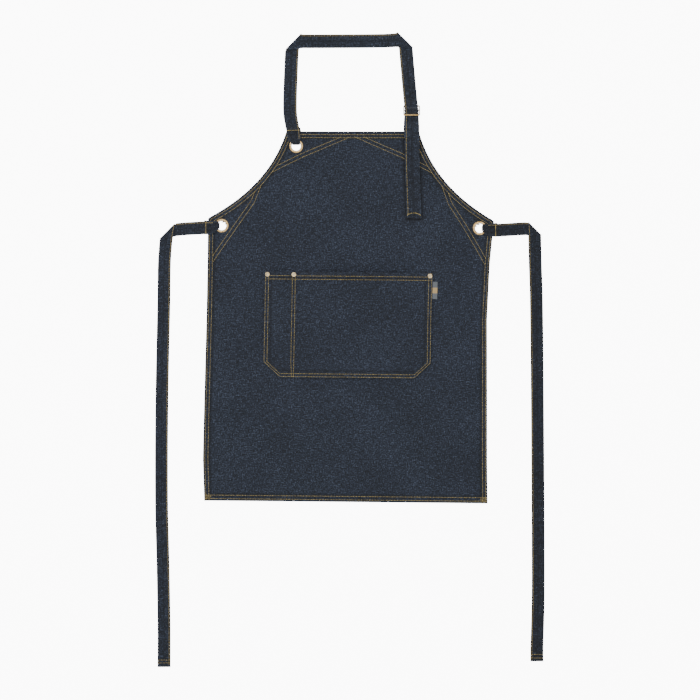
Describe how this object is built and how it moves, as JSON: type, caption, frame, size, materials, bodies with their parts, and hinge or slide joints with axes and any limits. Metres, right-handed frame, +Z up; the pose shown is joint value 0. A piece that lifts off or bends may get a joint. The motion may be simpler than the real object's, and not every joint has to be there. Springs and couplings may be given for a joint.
{
  "type": "bib apron",
  "caption": "Denim bib apron laid flat, with a patch pocket and pen pocket, large brass eyelets, a neck strap with a slider, and long waist ties folded down at its sides.",
  "frame": {"origin": "on the surface that the apron lies on, beneath its back face, near its middle line at waist level", "axes": "+X to the right for someone who looks down at the front of the apron, +Y towards the neck loop, +Z up, out of the front of the apron"},
  "size_m": [0.8236, 1.3416, 0.0127],
  "materials": {
    "denim": "dark navy twill, matte, slubbed",
    "denim_back": "dark navy twill, matte",
    "tape": "grey woven tape with a plain gold stripe",
    "brass": "lightly worn antique brass",
    "rivet_metal": "pale brass, satin"
  },
  "bodies": {
    "root": {"panel": "denim", "facing_top_left": "denim_back", "facing_top_right": "denim_back", "facing_left": "denim_back", "facing_right": "denim_back", "pocket": "denim", "neck_strap": "denim", "anchor_strap": "denim", "tie_left": "denim", "tie_right": "denim", "side_tab": "tape", "eyelet_top_left": "brass", "eyelet_top_right": "brass", "eyelet_left": "brass", "eyelet_right": "brass", "rivet_left": "rivet_metal", "rivet_divider": "rivet_metal", "rivet_right": "rivet_metal", "slider": "brass"}
  },
  "joints": []
}
